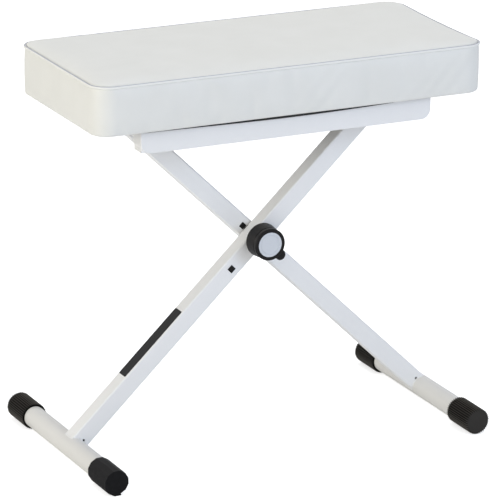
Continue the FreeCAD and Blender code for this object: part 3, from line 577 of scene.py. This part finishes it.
def welt():
    """A cord's circle, spun round each corner and drawn out along each side in turn."""
    bm = bmesh.new()
    start = Matrix.Translation((HALF_LONG - CORNER, HALF_DEEP - WELT_INSET, SEAM))
    bmesh.ops.create_circle(bm, segments=WELT_SIDES, radius=WELT,
                            matrix=start @ Matrix.Rotation(math.pi / 2, 4, "Y"))
    ring = bm.edges[:]
    corners = [(1, 1), (1, -1), (-1, -1), (-1, 1)]
    for number, (sx, sy) in enumerate(corners):
        middle = Vector((sx * (HALF_LONG - CORNER), sy * (HALF_DEEP - CORNER), SEAM))
        turned = bmesh.ops.spin(bm, geom=ring, cent=middle, axis=(0, 0, -1), dvec=(0, 0, 0),
                                angle=math.pi / 2, steps=WELT_TURN_STEPS, use_merge=False)
        ring = [item for item in turned["geom_last"] if isinstance(item, bmesh.types.BMEdge)]
        if number % 2 == 0:
            run = Vector((0, -sy * 2 * (HALF_DEEP - CORNER), 0))
        else:
            run = Vector((-sx * 2 * (HALF_LONG - CORNER), 0, 0))
        for _ in range(WELT_RUN_STEPS):
            pulled = bmesh.ops.extrude_edge_only(bm, edges=ring)["geom"]
            verts = [item for item in pulled if isinstance(item, bmesh.types.BMVert)]
            bmesh.ops.translate(bm, vec=run / WELT_RUN_STEPS, verts=verts)
            ring = [item for item in pulled if isinstance(item, bmesh.types.BMEdge)
                    and item.verts[0] in verts and item.verts[1] in verts]
    bmesh.ops.remove_doubles(bm, verts=bm.verts, dist=0.01)
    # The seam layer marks where the cord is painted with shade
    seam = bm.verts.layers.float.new("seam")
    for vert in bm.verts:
        vert[seam] = 1.0 if vert.co.z > SEAM + WELT_SHADE_ABOVE * WELT else 0.0
        vert.co.z += WELT_UNEVEN * noise.noise(vert.co * 0.03) - dip(vert.co.x, vert.co.y)
    bmesh.ops.recalc_face_normals(bm, faces=bm.faces)
    made = piece("seat_welt", bm, welt_vinyl, "seat")
    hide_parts("cover_welt")


welt()


# Dust cover: black cloth stapled under the board, loose along its front margin
HANG_FROM = -215.0
HANG_LONG = 373.0
HANG_ENDS = 3.3
HANG_MIDDLE = 2.9
HANG_FADE = 24.0
CLOTH_CORNER = CORNER - 4
CLOTH_GRID = 8.0
# The margin in front of the rail is cut more closely, because it hangs
MARGIN_GRID = 1.4
MARGIN_ROWS = 9


def hang_at(x):
    """How far the front margin hangs: most a little right of its middle, and drawn up to the
    staples beyond both ends."""
    along = (x - HANG_FROM) / HANG_LONG
    beyond = max(0.0, -along, along - 1) * HANG_LONG
    hang = HANG_ENDS * max(0.0, 1 - beyond / HANG_FADE)
    if 0 < along < 1:
        hang += HANG_MIDDLE * math.sin(math.pi * along ** 1.3)
    return hang


def dust_cover():
    """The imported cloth's sheet with its front margin hanging between the board's edge and the rail."""
    low, high = (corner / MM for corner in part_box("dust_cover"))
    rail_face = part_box("front_rail")[0].y / MM
    bm = bmesh.new()
    block(bm, high - low, Matrix.Translation((low + high) / 2))
    round_edges(bm, upright_edges(bm), CLOTH_CORNER, 8)
    cut_at(bm, 0, even_cuts(high.x, CLOTH_GRID))
    cut_at(bm, 1, [low.y + MARGIN_GRID * i for i in range(1, MARGIN_ROWS + 1)])
    for vert in bm.verts:
        across = (vert.co.y - low.y) / (rail_face - low.y)
        if 0 < across < 1:
            vert.co.z -= hang_at(vert.co.x) * math.sin(math.pi * across ** 1.6)
    made = piece("dust_cloth", bm, cloth, "seat")
    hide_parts("dust_cover")


dust_cover()


# Legs: a plain label on the front one, and at each foot the weld and a black block of painted shade inside
def leg_frame(y, hand):
    """Axes of a leg: X up along it, Y across it, Z out of its upper narrow side."""
    along = Vector((hand * math.cos(LEG_ANGLE), 0, math.sin(LEG_ANGLE)))
    out = Vector((-hand * math.sin(LEG_ANGLE), 0, math.cos(LEG_ANGLE)))
    axes = Matrix((along, out.cross(along), out)).transposed().to_4x4()
    return Matrix.Translation((PIVOT.x, y, PIVOT.z)) @ axes


# The label's ends along the leg, from the pivot
LABEL_FROM = -265.5
LABEL_TO = -147.0
LABEL_WIDE = 20.4
LABEL_THICK = 0.2
LABEL_CORNER = 2.0


def label():
    """A plain strip of film on the front leg's upper narrow side."""
    bm = bmesh.new()
    place = Matrix.Translation(((LABEL_FROM + LABEL_TO) / 2, 0, (LEG_WIDE + LABEL_THICK) / 2))
    block(bm, (LABEL_TO - LABEL_FROM, LABEL_WIDE, LABEL_THICK), place)
    round_edges(bm, upright_edges(bm), LABEL_CORNER, 5)
    bmesh.ops.transform(bm, matrix=leg_frame(FRONT_LEG_Y, 1), verts=bm.verts)
    made = piece("leg_label", bm, black_film, "front_leg", smooth=False)


label()

BEAD_POINTS = 96
BEAD_RADIUS = 1.0
BEAD_SUNK = 0.1
BEAD_RIPPLE = 0.15
# Power that squares a circle into the leg's rounded box section
SQUARING = 0.32


def weld_bead(name, y, hand, body):
    """A fillet of weld all round the leg's end, where it meets the foot tube."""
    half_y = LEG_DEEP / 2
    half_z = LEG_WIDE / 2
    path = []
    for number in range(BEAD_POINTS):
        turn = 2 * math.pi * number / BEAD_POINTS
        across = half_y * math.copysign(abs(math.cos(turn)) ** SQUARING, math.cos(turn))
        out = half_z * math.copysign(abs(math.sin(turn)) ** SQUARING, math.sin(turn))
        along = math.sqrt(FOOT_RADIUS ** 2 - out ** 2) - LOWER_ARM
        ripple = BEAD_RIPPLE * math.sin(number * 2.1)
        path.append(leg_frame(y, hand) @ Vector((along - BEAD_SUNK + ripple, across, out)))
    curve = bpy.data.curves.new(name, "CURVE")
    curve.dimensions = "3D"
    curve.bevel_depth = BEAD_RADIUS
    curve.bevel_resolution = 3
    line = curve.splines.new("POLY")
    line.points.add(BEAD_POINTS - 1)
    line.use_cyclic_u = True
    for point, place in zip(line.points, path):
        point.co = (*place, 1)
    drawn = bpy.data.objects.new(name, curve)
    bm = bmesh.new()
    bm.from_mesh(drawn.to_mesh())
    made = piece(name, bm, paint, body)
    bpy.data.objects.remove(drawn)


weld_bead("left_weld", FRONT_LEG_Y, 1, "front_leg")
weld_bead("right_weld", REAR_LEG_Y, -1, "rear_leg")

# The block starts just inside the foot tube's surface, this far from the tube's middle
BORE_START = FOOT_RADIUS - 0.5
BORE_LONG = 24.0
BORE_PLAY = 0.2
BORE_EDGE = 1.0


def leg_bore(name, y, hand, body):
    """A black block of painted shade inside the leg's foot end, where the drain hole shows the tube's unlit
    inside.
    """
    deep = LEG_DEEP - 2 * LEG_WALL - BORE_PLAY
    wide = LEG_WIDE - 2 * LEG_WALL - BORE_PLAY
    bm = bmesh.new()
    place = Matrix.Translation((BORE_START + BORE_LONG / 2 - LOWER_ARM, 0, 0))
    block(bm, (BORE_LONG, deep, wide), leg_frame(y, hand) @ place)
    round_edges(bm, bm.edges[:], BORE_EDGE, 2)
    made = piece(name, bm, scale, body)


leg_bore("front_leg_bore", FRONT_LEG_Y, 1, "front_leg")
leg_bore("rear_leg_bore", REAR_LEG_Y, -1, "rear_leg")


# Ribbed caps on three ends of the foot tubes
RIBS = 36
RIB_ROOT = 16.0
RIB_END = 1.1
CAP_END = 2.6
CAP_FACE = RIB_ROOT - 0.3
CAP_EDGE = 0.2
CAP_PLAY = 0.1
# How pale the plain end face is painted, between the grooves' painted shade at 0 and the crests' painted
# highlight at 1
END_PAINTED_TONE = 0.58


def ribbed_cap(node, body):
    """A cup of rubber with sharp ribs along it, its closed end away from the middle of the bench."""
    low, high = (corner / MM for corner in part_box(node))
    middle = (low + high) / 2
    outside = math.copysign(1, middle.y)
    tip = (high.z - low.z) / 2
    long = high.y - low.y
    bore = FOOT_RADIUS + CAP_PLAY
    bm = bmesh.new()
    crest = bm.verts.layers.float.new("crest")
    bmesh.ops.create_circle(bm, segments=2 * RIBS, radius=1, cap_ends=True)
    for vert in bm.verts:
        turn = math.atan2(vert.co.y, vert.co.x)
        # 1 on the crests for the painted highlight, 0 in the grooves for the painted shade
        vert[crest] = round(turn * RIBS / math.pi) % 2

    def ring(face, along, on_tip, on_root):
        """Moves a face's corners to a place along the cap, on the crests' and the grooves' radius."""
        for vert in face.verts:
            flat = vert.co.to_2d().normalized() * (on_tip if vert[crest] > 0.5 else on_root)
            vert.co = Vector((flat.x, flat.y, along))
        return face

    def extruded(face):
        """Pulls a new face from a face, to be moved to its own place."""
        pulled = bmesh.ops.extrude_face_region(bm, geom=[face])["geom"]
        return next(item for item in pulled if isinstance(item, bmesh.types.BMFace))

    mouth = ring(bm.faces[:][0], 0, tip, RIB_ROOT)
    end = ring(extruded(mouth), long - RIB_END, tip, RIB_ROOT)
    end = ring(extruded(end), long - CAP_EDGE, CAP_FACE + 1, CAP_FACE)
    end = ring(extruded(end), long, CAP_FACE, CAP_FACE)
    for vert in end.verts:
        vert[crest] = END_PAINTED_TONE
    rim = ring(extruded(mouth), 0, bore, bore)
    ring(extruded(rim), long - CAP_END, bore, bore)
    turned = Matrix.Rotation(-outside * math.pi / 2, 4, "X")
    place = Matrix.Translation((middle.x, low.y if outside > 0 else high.y, middle.z))
    bmesh.ops.transform(bm, matrix=place @ turned, verts=bm.verts)
    bmesh.ops.recalc_face_normals(bm, faces=bm.faces)
    made = piece("ribbed_" + node, bm, rib_rubber, body, smooth=False)
    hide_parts(node)


ribbed_cap("front_right_cap", "rear_leg")
ribbed_cap("rear_right_cap", "rear_leg")
ribbed_cap("rear_left_cap", "front_leg")


# Stage
FLOOR_HALF = 9.0
# What the lamps look at, and the light that the camera sees added to the floor to make it white
AIM = Vector((0, 0, 0.35))
FLOOR_GLOW = 0.7
ROOM_LIGHT = 0.55


def floor():
    """White paper that keeps the bench's shadow, and shows as white to the camera elsewhere."""
    bm = bmesh.new()
    bmesh.ops.create_grid(bm, x_segments=1, y_segments=1, size=FLOOR_HALF)
    mesh = bpy.data.meshes.new("floor")
    bm.to_mesh(mesh)
    bm.free()
    made = bpy.data.objects.new("floor", mesh)
    bpy.context.scene.collection.objects.link(made)
    paper, tree = material("white_paper")
    ray = add(tree, "ShaderNodeLightPath")
    diffuse = add(tree, "ShaderNodeBsdfDiffuse", {"Color": linear("F2F2F2")})
    glow = add(tree, "ShaderNodeEmission", {"Strength": FLOOR_GLOW})
    lit = add(tree, "ShaderNodeAddShader")
    tree.links.new(diffuse.outputs[0], lit.inputs[0])
    tree.links.new(glow.outputs[0], lit.inputs[1])
    either = add(tree, "ShaderNodeMixShader", Fac=ray.outputs["Is Camera Ray"])
    tree.links.new(diffuse.outputs[0], either.inputs[1])
    tree.links.new(lit.outputs[0], either.inputs[2])
    finish_material(tree, either)
    mesh.materials.append(paper)


def world():
    """A plain bright room, which the camera and the gloss see as white."""
    made = bpy.data.worlds.new("studio")
    bpy.context.scene.world = made
    made.use_nodes = True
    tree = made.node_tree
    tree.nodes.clear()
    ray = add(tree, "ShaderNodeLightPath")
    seen = add(tree, "ShaderNodeMath", {"operation": "MAXIMUM"})
    tree.links.new(ray.outputs["Is Camera Ray"], seen.inputs[0])
    tree.links.new(ray.outputs["Is Glossy Ray"], seen.inputs[1])
    room = add(tree, "ShaderNodeBackground", {"Color": linear("F4F5F7"), "Strength": ROOM_LIGHT})
    white = add(tree, "ShaderNodeBackground", {"Color": (1, 1, 1, 1), "Strength": 1.0})
    both = add(tree, "ShaderNodeMixShader", Fac=seen.outputs[0])
    tree.links.new(room.outputs[0], both.inputs[1])
    tree.links.new(white.outputs[0], both.inputs[2])
    output = tree.nodes.new("ShaderNodeOutputWorld")
    tree.links.new(both.outputs[0], output.inputs["Surface"])


def lamp(name, place, power, size, colour):
    """A square soft box that faces the bench."""
    light = bpy.data.lights.new(name, "AREA")
    light.energy = power
    light.size = size
    light.color = linear(colour)[:3]
    made = bpy.data.objects.new(name, light)
    made.location = place
    aim = AIM - Vector(place)
    made.rotation_euler = aim.to_track_quat("-Z", "Y").to_euler()
    bpy.context.scene.collection.objects.link(made)


def camera():
    """The photograph's viewpoint, found by fitting the bench's outline."""
    azimuth = math.radians(-26.224)
    elevation = math.radians(17.768)
    roll = math.radians(0.652)
    place = (-2.3033, -4.6707, 1.9283)
    back = Vector((math.sin(azimuth) * math.cos(elevation), -math.cos(azimuth) * math.cos(elevation),
                   math.sin(elevation)))
    right = back.cross(Vector((0, 0, -1))).normalized()
    up = right.cross(-back)
    level = Matrix((right, up, back)).transposed()
    lens = bpy.data.cameras.new("camera")
    lens.sensor_width = 36.0
    lens.lens = 285.0
    lens.shift_x = 0.0025
    lens.clip_end = 60
    made = bpy.data.objects.new("camera", lens)
    turned = level @ Matrix.Rotation(roll, 3, "Z")
    made.matrix_world = Matrix.Translation(place) @ turned.to_4x4()
    bpy.context.scene.collection.objects.link(made)
    bpy.context.scene.camera = made


floor()
world()
camera()
lamp("left_soft_box", (-3.3, -0.9, 0.9), 40, 1.6, "FFF9E9")
lamp("front_soft_box", (1.6, -4.1, 1.9), 58, 2.0, "D2E3FF")
lamp("top_soft_box", (0.2, 0.6, 3.4), 26, 2.2, "FFFFFF")
bpy.context.scene.view_settings.view_transform = "Standard"
